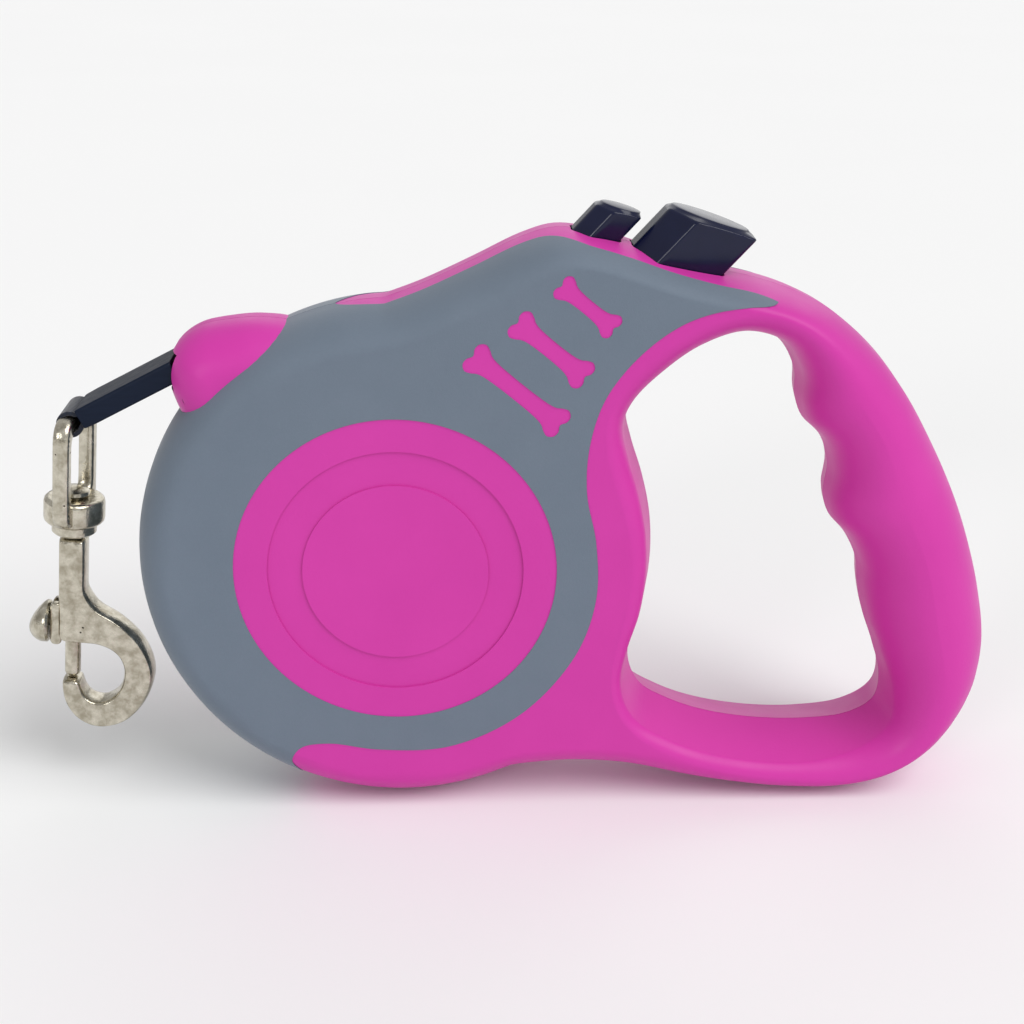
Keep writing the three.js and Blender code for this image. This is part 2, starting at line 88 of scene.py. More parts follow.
BUTTON_LEAN = math.radians(43)
HOOK_LEAN = math.radians(6)
EYE_TURN = math.radians(-7)
SLEEVE_TURN = math.radians(153.1)
SLEEVE_START = (-37.4, 34.95)
SLEEVE_LENGTH = 19.2
SLEEVE_HALF = 1.9           # half its thickness
EYE_BAR = 21.3              # distance from the sleeve's start to the eye's bar
TAPE_WIDTH = 9.5
TAPE_THICK = 0.8

CASE_SPLINE = [
    (-1.1, 46.5), (5.3, 48.9), (14, 52.9), (22.6, 57), (28.5, 58.6), (34.5, 57.9), (41, 56), (48, 53.5),
    (56, 51.2), (63, 49.6), (70, 47.3), (76.7, 43.8), (84.3, 37.4), (90.7, 29.4), (96.1, 20.4), (100.9, 10.9),
    (104.4, 2), (107.4, -8), (109.2, -18.5), (107.9, -28.6), (102.5, -37.6), (93.5, -44.1),
    (83.1, -47.4), (72.5, -47.7), (62, -46.6), (51.7, -44.9), (42, -42.8), (31.6, -42), (21.1, -42.7),
]
HAND_SPLINE = [
    (61, 41.1), (54, 39), (48, 34.8), (42.8, 29.4), (41.4, 25.6), (42.4, 20.5), (44.6, 13.5), (46.2, 6),
    (46.6, -2), (45.7, -10), (43.7, -17.5), (43, -23.5), (45.3, -29), (51, -32.6), (58, -35.2),
    (68, -37), (78, -37.3), (86, -36.2), (90.6, -33.2), (91.4, -28), (89.4, -20.8), (87, -14.2),
    (85.7, -8.5), (85.1, -3.9), (82.5, 1.5), (79.2, 5.4), (78, 9.4), (78.4, 15), (76.7, 20.4), (73, 24.3),
    (71.6, 28.2), (71.2, 33), (67.8, 38.8),
]
NOZZLE_SPLINE = [
    (-16.5, 42), (-22.3, 43.2), (-28, 42.9), (-33.5, 41.7), (-37.4, 38.8), (-38.9, 34.6), (-38.3, 30.2),
    (-35.5, 24.5), (-29, 20), (-20, 19), (-12.5, 25), (-11, 35),
]
SKIN_SPLINE = [
    (67.3, 50.2), (67.1, 48.6), (65.4, 47.5), (60, 47.3), (55, 46.6), (50, 44.9), (45, 41.7), (40, 36.8),
    (36.2, 31), (33.9, 23), (33.6, 14.5), (35.4, 5), (35.5, -6), (31.8, -17), (22, -28.5), (9, -34.8),
    (-4, -35.2), (-13, -33.8), (-18.2, -34.6), (-20, -37.4), (-18.6, -41),
]
# The bare strip along the top of the casing, seen from above: x, y.
STRIP_PLAN = [
    (-10.5, 0), (-7.5, -2.8), (-2, -4.2), (26, -4.6), (34, -9), (61, -9), (65.5, -10), (68, -12),
    (80, -12), (80, 12), (68, 12), (65.5, 10), (61, 9), (2, 9), (-5, 6),
]
# The three bones: middle point, length, and half the width across their ends. KNUCKLE is the upper
# half of one end, along and across the bone, in those half widths.
BONES = [(21.4, 33.3, 20.5, 2.95), (27.2, 40.4, 16, 2.8), (33.2, 47.7, 12.4, 2.35)]
KNUCKLE = [(-0.2, 0), (-0.01, 0.38), (-0.05, 0.76), (-0.38, 1), (-0.75, 0.88), (-1.05, 0.69), (-1.6, 0.57)]
BONE_LEAN = math.radians(-40)

# The edge of the hand opening at places round it: x, z, how far it rounds over in and across the
# casing's plane, and how far its wall flares outwards before that.
HAND_EDGE = [
    (42, 21, 3.2, 3.6, 0.8), (46.5, 0, 2.2, 2.2, 1.0), (43.5, -21, 2.0, 2.0, 1.4), (57, -35, 1.7, 1.7, 2.3),
    (78, -37.3, 1.7, 1.7, 2.7), (90, -34, 4.5, 5, 1.8), (89.5, -20.8, 8.5, 9.5, 0.4), (82, 2, 9.5, 10.3, 0),
    (71.5, 29, 7, 9, 0), (61, 41, 3.4, 5, 0.2), (50, 36.5, 3.6, 5, 0.3),
]
# The case screws: x, z, and how deep the head's seat lies from the middle of the casing.
SCREWS = [(19, 49.5, 10.2), (78.2, 35.8, 10.2), (93, 0, 10.2), (97.6, -33.5, 10.2), (31, -35.6, 10.2),
          (-34.4, 30.8, 4.6)]
HEAD_HOLE, SHANK_HOLE = 2.8, 1.6
SHANK_END = -8
BOSS_RADIUS, BOSS_HALF = 3.8, 12

# Each button: the rear half of its plan across the slide, where it and its slot start along the
# slide, the heights of its top at its two ends, and the oval of its thumb pad: centre, half length,
# half width.
BRAKE = {
    "plan": [(-7.4, 2.5), (-3.3, 7), (7.2, 4)], "low": 60, "slot_low": 61, "top": (77.9, 84.4),
    "pad": (-0.7, 6.5, 4.9),
}
LOCK = {
    "plan": [(-16.9, 1.9), (-14.2, 4.4), (-9.7, 2.7)], "low": 56, "slot_low": 57, "top": (69.9, 73.5),
    "pad": (-13.3, 3.2, 3.2),
}
BUTTON_CORNER = 0.55        # how far the plan's corners are cut back
BUTTON_GAP = 0.3            # between a button and its slot

# The spring under the brake, along the slide, and the pocket that holds it.
SPRING_ACROSS = 4.2
SPRING_LOW, SPRING_HIGH = 52.2, 63.8
SPRING_RADIUS, SPRING_WIRE, SPRING_TURNS = 2.1, 0.5, 5
POCKET_RADIUS, POCKET_TOP = 2.65, 64.5

# ---- Places ---------------------------------------------------------------

MM = 0.001
axle_low, axle_high = (Vector(corner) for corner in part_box("axle_pin"))
AXLE = (axle_low + axle_high) / 2
CASE = Matrix.Translation(AXLE) @ Matrix.Scale(MM, 4)


def turned_about_y(angle):
    return Matrix.Rotation(angle, 4, "Y")


BUTTONS = CASE @ turned_about_y(BUTTON_LEAN)
SLEEVE = CASE @ Matrix.Translation((SLEEVE_START[0], 0, SLEEVE_START[1])) @ turned_about_y(SLEEVE_TURN)
HOOK = SLEEVE @ Matrix.Translation((EYE_BAR, 0, 0)) @ turned_about_y(HOOK_LEAN - SLEEVE_TURN)
EYE = HOOK @ Matrix.Rotation(EYE_TURN, 4, "Z")

# ---- Lines ----------------------------------------------------------------


def spline(points, closed=False, steps=12):
    """A smooth line through points, kept from overshooting where they lie close together."""
    knots = [np.array(p, float) for p in points]
    if closed:
        knots = [knots[-1], *knots, knots[0], knots[1]]
    else:
        knots = [2 * knots[0] - knots[1], *knots, 2 * knots[-1] - knots[-2]]
    line = []
    for before, a, b, after in zip(knots, knots[1:], knots[2:], knots[3:]):
        gaps = [math.sqrt(np.linalg.norm(q - p)) for p, q in ((before, a), (a, b), (b, after))]
        leave = ((a - before) / gaps[0] - (b - before) / (gaps[0] + gaps[1])) * gaps[1] + (b - a)
        arrive = ((after - b) / gaps[2] - (after - a) / (gaps[1] + gaps[2])) * gaps[1] + (b - a)
        for i in range(steps):
            t = i / steps
            line.append(a * (2 * t**3 - 3 * t**2 + 1) + leave * (t**3 - 2 * t**2 + t)
                        + b * (3 * t**2 - 2 * t**3) + arrive * (t**3 - t**2))
    if not closed:
        line.append(knots[-2])
    return np.array(line)


def arc(centre, radius, start, end, steps):
    angles = np.radians(np.linspace(start, end, steps + 1))
    return np.c_[centre[0] + radius * np.cos(angles), centre[1] + radius * np.sin(angles)]


def rounded_box(left, right, low, high, radius, steps=8):
    xs, zs = (right - radius, left + radius), (high - radius, low + radius)
    corners = [(xs[0], zs[0]), (xs[1], zs[0]), (xs[1], zs[1]), (xs[0], zs[1])]
    return np.vstack([arc(corner, radius, 90 * i, 90 * i + 90, steps) for i, corner in enumerate(corners)])


def evenly(points, spacing):
    """A closed line again, with points at even distances along it."""
    ring = np.vstack([points, points[:1]])
    run = np.r_[0, np.cumsum(np.linalg.norm(np.diff(ring, axis=0), axis=1))]
    at = np.linspace(0, run[-1], int(run[-1] / spacing) + 1)[:-1]
    return np.c_[np.interp(at, run, ring[:, 0]), np.interp(at, run, ring[:, 1])]


def calmed(values, passes):
    """Values round a closed line, each averaged with its neighbours again and again."""
    for _ in range(passes):
        values = (np.roll(values, 1, axis=0) + 2 * values + np.roll(values, -1, axis=0)) / 4
    return values


def area(points):
    x, z = points[:, 0], points[:, 1]
    return np.sum(x * np.roll(z, -1) - np.roll(x, -1) * z) / 2


def towards_left(points):
    """Unit normals on the left of a closed line."""
    along = np.roll(points, -1, axis=0) - np.roll(points, 1, axis=0)
    along /= np.linalg.norm(along, axis=1)[:, None]
    return np.c_[-along[:, 1], along[:, 0]]


def ease(x, low, high):
    t = np.clip((x - low) / (high - low), 0, 1)
    return t * t * (3 - 2 * t)


# ---- Solids ---------------------------------------------------------------


class Solid:
    """A closed shape under construction: a | b joins two, a - b cuts b out, a & b keeps what both fill."""

    made = []

    def __init__(self, mesh):
        self.item = bpy.data.objects.new("shape", mesh)
        bpy.context.scene.collection.objects.link(self.item)
        Solid.made.append(self.item)

    def combined(self, other, operation):
        modifier = self.item.modifiers.new(operation, "BOOLEAN")
        modifier.operation = operation
        modifier.solver = "MANIFOLD"
        modifier.object = other.item
        view = bpy.context.evaluated_depsgraph_get()
        mesh = bpy.data.meshes.new_from_object(self.item.evaluated_get(view))
        self.item.modifiers.clear()
        return Solid(mesh)

    def __or__(self, other):
        return self.combined(other, "UNION")

    def __sub__(self, other):
        return self.combined(other, "DIFFERENCE")

    def __and__(self, other):
        return self.combined(other, "INTERSECT")

    @classmethod
    def clear(cls):
        for item in cls.made:
            bpy.data.objects.remove(item)
        cls.made.clear()


def solid(bm, place=None):
    """The finished bmesh as a Solid, its faces pointing outwards."""
    bmesh.ops.remove_doubles(bm, verts=bm.verts, dist=1e-4)
    bmesh.ops.recalc_face_normals(bm, faces=bm.faces)
    if place:
        bmesh.ops.transform(bm, matrix=place, verts=bm.verts)
    mesh = bpy.data.meshes.new("shape")
    bm.to_mesh(mesh)
    bm.free()
    return Solid(mesh)


def edge_ring(bm, points):
    verts = [bm.verts.new(point) for point in points]
    return verts, [bm.edges.new((verts[i - 1], verts[i])) for i in range(len(verts))]


def extruded_rings(bm, rings):
    """Extrudes a closed run of edges from ring to ring. Returns the edges of the first and the last."""
    verts, edges = edge_ring(bm, rings[0])
    first = edges
    for ring in rings[1:]:
        places = {vert: i for i, vert in enumerate(verts)}
        made = bmesh.ops.extrude_edge_only(bm, edges=edges)["geom"]
        fresh = [item for item in made if isinstance(item, bmesh.types.BMVert)]
        verts = [None] * len(ring)
        for vert in fresh:
            behind = next(e.other_vert(vert) for e in vert.link_edges if e.other_vert(vert) in places)
            verts[places[behind]] = vert
            vert.co = ring[places[behind]]
        edges = [item for item in made
                 if isinstance(item, bmesh.types.BMEdge) and set(fresh).issuperset(item.verts)]
    return first, edges


def fill(bm, edges):
    bmesh.ops.triangle_fill(bm, edges=edges, use_beauty=True, use_dissolve=False)


def plate(loops, y_low, y_high, place=None):
    """A flat plate in the x-z plane with square edges; loops after the first are its holes."""
    bm = bmesh.new()
    lows, highs = [], []
    for points in loops:
        low, high = extruded_rings(bm, [[(x, y, z) for x, z in points] for y in (y_low, y_high)])
        lows += low
        highs += high
    fill(bm, lows)
    fill(bm, highs)
    return solid(bm, place)


def block(x, y, z, place=None):
    return plate([[(x[0], z[0]), (x[1], z[0]), (x[1], z[1]), (x[0], z[1])]], *y, place)


def peg(x, z, radius, y_low, y_high, segments=48):
    bm = bmesh.new()
    middle = Matrix.Translation((x, (y_low + y_high) / 2, z)) @ Matrix.Rotation(math.pi / 2, 4, "X")
    bmesh.ops.create_cone(bm, cap_ends=True, segments=segments, radius1=radius, radius2=radius,
                          depth=y_high - y_low, matrix=middle)
    return solid(bm)


def lathed(pairs, segments=48, place=None):
    """A shape turned about the z axis from [radius, z] pairs."""
    bm = bmesh.new()
    verts = [bm.verts.new((radius, 0, z)) for radius, z in pairs]
    edges = [bm.edges.new(pair) for pair in zip(verts, verts[1:])]
    if pairs[0][0] > 0:
        edges.append(bm.edges.new((verts[-1], verts[0])))
    bmesh.ops.spin(bm, geom=verts + edges, axis=(0, 0, 1), cent=(0, 0, 0), angle=2 * math.pi,
                   steps=segments, use_merge=True)
    return solid(bm, place)


def coil_spring(radius, wire, low, high, turns):
    """A round wire wound about the z axis."""
    rings = []
    for angle in np.linspace(0, 2 * math.pi * turns, 24 * turns + 1):
        outward = np.array([math.cos(angle), math.sin(angle), 0])
        centre = radius * outward + (0, 0, low + (high - low) * angle / (2 * math.pi * turns))
        rings.append([centre + wire / 2 * (math.cos(a) * outward + math.sin(a) * np.array([0, 0, 1]))
                      for a in np.linspace(0, 2 * math.pi, 10, endpoint=False)])
    bm = bmesh.new()
    for edges in extruded_rings(bm, rings):
        fill(bm, edges)
    return solid(bm)


class Rim:
    """One closed edge of a rounded plate.

    It rounds over by `reach` in the plate's plane and by `rise` across it. `calm` is the quieter line
    that the flat face follows, so that small ridges fade out as the edge turns.
    """

    def __init__(self, points, reach, rise, spacing=1.1, hole=False, draft=0.0, calming=0):
        line = evenly(np.array(points, float), spacing)
        if (area(line) > 0) == hole:
            line = line[::-1]
        self.line = line
        self.calm = calmed(line, calming)
        self.reach = np.full(len(line), float(reach))
        self.rise = np.full(len(line), float(rise))
        self.flare = np.zeros(len(line))
        self.draft = draft

    def ring(self, turn, side, half, inset):
        """The rim's points where it has turned by `turn` from its side wall towards a flat face."""
        reach = np.maximum(self.reach - inset, 0.3)
        rise = np.maximum(self.rise - inset, 0.3)
        depth = half - inset - rise * (1 - math.sin(turn))
        share = 1 - math.cos(turn)
        line = self.line + (self.calm - self.line) * share
        lean = towards_left(self.line) * (1 - share) + towards_left(self.calm) * share
        lean /= np.linalg.norm(lean, axis=1)[:, None]
        wall = depth * self.draft + self.flare * (depth / half) ** 2
        line = line + lean * (inset + reach * share + wall)[:, None]
        return [(x, side * y, z) for (x, z), y in zip(line, depth)]

    def middle(self, inset):
        line = self.line + towards_left(self.line) * inset
        return [(x, 0, z) for x, z in line]


def rounded_plate(rims, half, inset=0.0, turns=9):
    """A plate with rounded edges; `inset` moves all of its surface into the material."""
    bm = bmesh.new()
    angles = [math.pi / 2 * i / turns for i in range(turns + 1)]
    fronts = []
    for rim in rims:
        rings = [rim.ring(angle, -1, half, inset) for angle in reversed(angles)]
        front, _ = extruded_rings(bm, [*rings, rim.middle(inset)])
        fronts += front
    bmesh.ops.triangle_fill(bm, edges=fronts, use_beauty=True, use_dissolve=False, normal=(0, -1, 0))
    bmesh.ops.mirror(bm, geom=bm.verts[:] + bm.edges[:] + bm.faces[:], axis="Y", merge_dist=1e-3)
    return solid(bm)


# ---- Finishes -------------------------------------------------------------


class Value:
    """A number that varies over a surface. Arithmetic on it adds Math nodes."""

    def __init__(self, finish, socket):
        self.finish = finish
        self.socket = socket

    def maths(self, operation, *values):
        return self.finish.node("Math", {"operation": operation}, dict(enumerate(values)))

    def __add__(self, other):
        return self.maths("ADD", self, other)

    def __radd__(self, other):
        return self.maths("ADD", other, self)

    def __sub__(self, other):
        return self.maths("SUBTRACT", self, other)

    def __rsub__(self, other):
        return self.maths("SUBTRACT", other, self)

    def __mul__(self, other):
        return self.maths("MULTIPLY", self, other)

    def __rmul__(self, other):
        return self.maths("MULTIPLY", other, self)

    def wave(self, period):
        """Swings between -1 and 1, once in each period."""
        return self.maths("SINE", self * (2 * math.pi / period))

    def ramped(self, low, high):
        """0 below low, 1 above high, and smooth between."""
        settings = {"interpolation_type": "SMOOTHSTEP"}
        return self.finish.node("MapRange", settings, {"Value": self, "From Min": low, "From Max": high})


class Finish:
    """A material on one Principled shader, whose plain numbers are set on its own sockets."""

    def __init__(self, name, **numbers):
        self.material = bpy.data.materials.new(name)
        self.material.use_nodes = True
        self.tree = self.material.node_tree
        self.shader = self.tree.nodes["Principled BSDF"]
        for name, value in numbers.items():
            self.shader.inputs[name.replace("_", " ").title().replace("Ior", "IOR")].default_value = value
        self.place = self.node("TexCoord", {}, {}, "Object")

    def node(self, kind, settings, values, output=0):
        node = self.tree.nodes.new("ShaderNode" + kind)
        for name, value in settings.items():
            setattr(node, name, value)
        for name, value in values.items():
            if isinstance(value, Value):
                self.tree.links.new(value.socket, node.inputs[name])
            else:
                node.inputs[name].default_value = value
        return Value(self, node.outputs[output])

    def noise(self, size, detail=2.0, roughness=0.5, place=None):
        """Soft random patches about `size` millimetres across, from 0 to 1."""
        values = {"Vector": place or self.place, "Scale": 1 / (size * MM), "Detail": detail,
                  "Roughness": roughness}
        return self.node("TexNoise", {}, values)

    def specks(self, size, share):
        """1 in the middle of scattered round specks, 0 between them."""
        values = {"Vector": self.place, "Scale": 1 / (size * MM)}
        return 1 - self.node("TexVoronoi", {}, values, "Distance").ramped(share * 0.4, share)

    def axis(self, name):
        return self.node("SeparateXYZ", {}, {"Vector": self.place}, name)

    def mixed(self, factor, low, high):
        """The colour low where factor is 0, and high where it is 1."""
        values = {"Factor": factor, 6: low, 7: high}
        return self.node("Mix", {"data_type": "RGBA"}, values, 2)

    def colour(self, value):
        self.tree.links.new(value.socket, self.shader.inputs["Base Color"])

    def roughness(self, value):
        self.tree.links.new(value.socket, self.shader.inputs["Roughness"])

    def relief(self, height, depth):
        """Bumps the surface by height times depth millimetres."""
        bump = self.node("Bump", {}, {"Height": height, "Distance": depth * MM, "Strength": 1.0})
        self.tree.links.new(bump.socket, self.shader.inputs["Normal"])


def rgb(red, green, blue):
    return (red, green, blue, 1.0)


def shell_plastic():
    """Satin moulded plastic: fine spark-eroded grain, and slightly polished where hands rub it."""
    finish = Finish("shell_plastic", specular_ior_level=0.24)
    cloud = finish.noise(18, 3)
    finish.colour(finish.mixed(cloud, rgb(0.55, 0.034, 0.325), rgb(0.62, 0.045, 0.37)))
    finish.roughness(0.34 + finish.noise(6, 3) * 0.16)
    finish.relief(finish.noise(0.42, 3, 0.6), 0.018)
    return finish.material


def skin_rubber():
    """Soft-touch rubber: matt, with a powdery grain."""
    finish = Finish("skin_rubber", specular_ior_level=0.35, sheen_weight=0.25, sheen_roughness=0.4)
    cloud = finish.noise(14, 4, 0.6) * 0.7 + finish.noise(0.5, 2) * 0.3
    finish.colour(finish.mixed(cloud, rgb(0.118, 0.152, 0.198), rgb(0.152, 0.19, 0.242)))
    finish.roughness(0.6 + finish.noise(3, 3) * 0.15)
    finish.relief(finish.noise(0.3, 3, 0.65), 0.028)
    return finish.material


def button_plastic():
    """Polished dark plastic with faint rub marks."""
    finish = Finish("button_plastic", specular_ior_level=0.32)
    cloud = finish.noise(5, 3)
    finish.colour(finish.mixed(cloud, rgb(0.004, 0.006, 0.026), rgb(0.007, 0.01, 0.04)))
    finish.roughness(0.13 + finish.noise(2.2, 4, 0.6) * 0.12)
    finish.relief(finish.noise(0.8, 2), 0.006)
    return finish.material


def sleeve_rubber():
    """Smooth heat-shrunk sleeve, faintly streaked along its length; the lighter streaks in its colour are
    painted sheen, while the streaks in roughness and bumps are real.
    """
    finish = Finish("sleeve_rubber", specular_ior_level=0.14)
    mapping = {"Vector": finish.place, "Rotation": (0, -SLEEVE_TURN, 0), "Scale": (0.08, 1, 1)}
    streaks_and_painted_sheen = finish.noise(0.9, 3, 0.6, finish.node("Mapping", {}, mapping))
    # The colour is lighter along the streaks: painted sheen standing in for reflected light.
    finish.colour(finish.mixed(streaks_and_painted_sheen, rgb(0.002, 0.005, 0.016), rgb(0.008, 0.015, 0.034)))
    finish.roughness(0.3 + streaks_and_painted_sheen * 0.25)
    finish.relief(streaks_and_painted_sheen, 0.05)
    return finish.material


def woven_tape():
    """Nylon webbing: plain weave, its ribs across the tape and its threads along it."""
    finish = Finish("woven_tape", specular_ior_level=0.3, sheen_weight=0.3, sheen_roughness=0.5)
    along = finish.node("Attribute", {"attribute_name": "along"}, {}, "Fac")
    pitch = 0.9 * MM
    ribs = along.wave(pitch)
    threads = finish.axis("Y").wave(0.75 * pitch)
    weave = (ribs * threads) * 0.35 + ribs * 0.15 + 0.5
    finish.colour(finish.mixed(weave, rgb(0.0025, 0.004, 0.01), rgb(0.014, 0.02, 0.04)))
    finish.roughness(0.62 + finish.noise(0.5, 2) * 0.25)
    finish.relief(weave + finish.noise(0.12, 2) * 0.3, 0.12)
    return finish.material


def plated_nickel():
    """Nickel over a zinc casting: warm, softly uneven, with scattered pits."""
    finish = Finish("plated_nickel", metallic=1.0)
    pits = finish.specks(1.9, 0.13) * finish.noise(5, 2).ramped(0.42, 0.55)
    patches = finish.noise(2.2, 5, 0.65).ramped(0.3, 0.7)
    clean = finish.mixed(patches, rgb(0.36, 0.325, 0.25), rgb(0.66, 0.62, 0.52))
    finish.colour(finish.mixed(pits, clean, rgb(0.06, 0.05, 0.035)))
    finish.roughness(0.16 + patches * 0.12 + pits * 0.4)
    finish.relief(finish.noise(2.4, 4, 0.6) - pits * 0.9 + finish.noise(0.45, 3, 0.6) * 0.22, 0.13)
    return finish.material


def drawn_steel():
    """Bright zinc-plated steel, faintly brushed."""
    finish = Finish("drawn_steel", metallic=1.0)
    grain = finish.noise(0.6, 3, 0.6)
    finish.colour(finish.mixed(grain, rgb(0.36, 0.37, 0.39), rgb(0.52, 0.53, 0.55)))
    finish.roughness(0.22 + grain * 0.18)
    finish.relief(grain, 0.01)
    return finish.material


def reel_plastic():
    """Unpigmented moulded plastic, waxy and a little uneven."""
    finish = Finish("reel_plastic", specular_ior_level=0.4, subsurface_weight=0.08)
    cloud = finish.noise(9, 3)
    finish.colour(finish.mixed(cloud, rgb(0.68, 0.68, 0.63), rgb(0.78, 0.78, 0.74)))
    finish.roughness(0.38 + finish.noise(4, 2) * 0.15)
    finish.relief(finish.noise(0.7, 2), 0.015)
    return finish.material


def coiled_tape():
    """The edge of the tape wound on the reel: fine rings about its axis."""
    finish = Finish("coiled_tape", specular_ior_level=0.3)
    flat = finish.node("VectorMath", {"operation": "MULTIPLY"}, {0: finish.place, 1: (1, 0, 1)})
    centre = (AXLE.x, 0, AXLE.z)
    about = finish.node("VectorMath", {"operation": "DISTANCE"}, {0: flat, 1: centre}, "Value")
    turns = about.wave(TAPE_THICK * MM)
    finish.colour(finish.mixed(turns * 0.5 + 0.5, rgb(0.003, 0.004, 0.01), rgb(0.012, 0.017, 0.034)))
    finish.roughness(0.7 + finish.noise(0.6, 2) * 0.2)
    finish.relief(turns + finish.noise(0.3, 2) * 0.4, 0.1)
    return finish.material


PINK = shell_plastic()
GREY = skin_rubber()
NAVY = button_plastic()
SLEEVE_BLACK = sleeve_rubber()
TAPE_BLACK = woven_tape()
NICKEL = plated_nickel()
STEEL = drawn_steel()
REEL_WHITE = reel_plastic()
COILED = coiled_tape()


# ---- Making pieces --------------------------------------------------------


def piece(name, shape, place, material, body, nodes, sharp=32):
    """A Solid put in its place, finished and handed to the frame; it stands for the given nodes."""
    mesh = shape.item.data.copy()
    mesh.name = name
    mesh.transform(place)
    mesh.materials.clear()
    mesh.materials.append(material)
    mesh.shade_smooth()
    mesh.set_sharp_from_angle(angle=math.radians(sharp))
    made = bpy.data.objects.new(name, mesh)
    bpy.context.scene.collection.objects.link(made)
    normals = made.modifiers.new("weighted_normals", "WEIGHTED_NORMAL")
    normals.keep_sharp = True
    if body is not None:
        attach(made, body)
    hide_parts(*nodes)
    return made


# ---- Casing ---------------------------------------------------------------


def around(rim, places):
    """Values given at places round a rim, as a smooth run of values for all of its points."""
    at = np.array([np.argmin(np.linalg.norm(rim.line - place[:2], axis=1)) for place in places])
    order = np.argsort(at)
    values = np.array(places)[order, 2:]
    steps = np.arange(len(rim.line))
    runs = [np.interp(steps, at[order], column, period=len(rim.line)) for column in values.T]
    return calmed(np.array(runs).T, 60).T


def case_rims():
    """The casing's outline and its hand opening, each rounding over as far as the other leaves room."""
    outline = np.vstack([arc(BODY_CENTRE, BODY_RADIUS, -64, -268, 160), spline(CASE_SPLINE)[1:-1]])
    outer = Rim(outline, BODY_REACH, BODY_RISE, draft=DRAFT, calming=14)
    opening = spline(HAND_SPLINE, closed=True)
    hand = Rim(opening, 1, 1, spacing=0.9, hole=True, draft=OPENING_DRAFT, calming=30)
    gaps = np.linalg.norm(outer.line[:, None] - hand.line[None], axis=2)
    reach, hand.rise, hand.flare = around(hand, HAND_EDGE)
    hand.reach = calmed(np.minimum(reach, HAND_SHARE * gaps.min(axis=0)), 30)
    taken = (hand.reach + hand.flare)[gaps.argmin(axis=1)] + OPENING_DRAFT * CASE_HALF
    x, z = outer.line.T
    grip = ease(x, GRIP_STARTS, GRIP_FULL)
    wanted = BODY_REACH + (GRIP_REACH - BODY_REACH) * grip
    beside_buttons = (x > BUTTONS_FROM) & (x < BUTTONS_TO) & (z > BUTTONS_ABOVE)
    wanted = np.where(beside_buttons, BUTTON_REACH, wanted)
    free = gaps.min(axis=1) - taken - DRAFT * CASE_HALF - 0.3
    outer.reach = calmed(np.minimum(wanted, free), 40)
    outer.rise = BODY_RISE + (GRIP_RISE - BODY_RISE) * grip
    return [outer, hand]


CASE_RIMS = case_rims()
NOZZLE_RIMS = [Rim(spline(NOZZLE_SPLINE, closed=True), NOZZLE_REACH, NOZZLE_RISE, calming=6)]


def case_solid(inset=0.0):
    return rounded_plate(CASE_RIMS, CASE_HALF, inset)


def nozzle_solid(inset=0.0):
    return rounded_plate(NOZZLE_RIMS, NOZZLE_HALF, inset)


def bone_outline(x, z, length, half):
    """Two small knuckles at each end of a straight shaft, leaning down to the right."""
    upper = np.array(KNUCKLE) * half + (length / 2, 0)
    right = np.vstack([upper[:0:-1] * (1, -1), upper])
    line = spline(np.vstack([right, -right]), closed=True, steps=6)
    cosine, sine = math.cos(BONE_LEAN), math.sin(BONE_LEAN)
    return line @ np.array([[cosine, sine], [-sine, cosine]]) + (x, z)


def full_plan(button, grow=0.0):
    """A button's plan all the way round, with its corners slightly rounded."""
    half = button["plan"]
    corners = [(x, -y) for x, y in half] + [(x, y) for x, y in reversed(half)]
    points = np.array(corners, float)
    rounded = []
    for i, corner in enumerate(points):
        before, after = points[i - 1] - corner, points[(i + 1) % len(points)] - corner
        start = corner + before / np.linalg.norm(before) * BUTTON_CORNER
        end = corner + after / np.linalg.norm(after) * BUTTON_CORNER
        for t in (0, 0.25, 0.5, 0.75, 1):
            rounded.append(start * (1 - t) ** 2 + corner * 2 * t * (1 - t) + end * t**2)
    line = np.array(rounded)
    if area(line) < 0:
        line = line[::-1]
    return line - towards_left(line) * grow


def button_slot(button):
    """The hole that a button slides in, a little wider than the button."""
    upright = turned_about_y(BUTTON_LEAN) @ Matrix.Rotation(math.pi / 2, 4, "X")
    return plate([full_plan(button, BUTTON_GAP)], button["slot_low"], 100, upright)


def skin_field(slots):
    """Everything the grip skins cover, through the whole casing."""
    outline = np.vstack([spline(SKIN_SPLINE), [(-18.6, -70), (-80, -70), (-80, 80), (67.3, 80)]])
    field = plate([outline], -BEYOND, BEYOND) - peg(0, 0, DISC_RADIUS, -BEYOND - 1, BEYOND + 1, 128)
    for bone in BONES:
        field = field - plate([bone_outline(*bone)], -BEYOND - 1, BEYOND + 1)
    strip = calmed(evenly(np.array(STRIP_PLAN, float), 0.8), 6)
    field = field - plate([strip], -90, -30, Matrix.Rotation(-math.pi / 2, 4, "X"))
    for slot in slots:
        field = field - slot
    return field - nozzle_solid(-0.02)


def ring_groove(side):
    outer = peg(0, 0, RING_OUTER, CASE_HALF - RING_DEPTH, CASE_HALF + 2, 128)
    groove = outer - peg(0, 0, RING_INNER, CASE_HALF - 2, CASE_HALF + 4, 128)
    if side == "front":
        groove.item.data.transform(Matrix.Rotation(math.pi, 4, "Z"))
    return groove


def casing(field, slots):
    """Both shells as one hollow body, with everything cut that goes through or into it."""
    case = case_solid() | nozzle_solid()
    case = case - (case_solid(WALL) | nozzle_solid(WALL))
    core = case_solid(1.0) | nozzle_solid(1.0)
    for x, z, _ in SCREWS:
        case = case | (peg(x, z, BOSS_RADIUS, -BOSS_HALF, BOSS_HALF) & core)
    for slot in slots:
        case = case - slot
    case = case - block(*TAPE_MOUTH)
    for x, z, seat in SCREWS:
        case = case - peg(x, z, HEAD_HOLE, seat, BEYOND)
        case = case - peg(x, z, SHANK_HOLE, SHANK_END, BEYOND)
    for side in ("front", "rear"):
        case = case - ring_groove(side)
    return case - (field - case_solid(SKIN + 0.02))


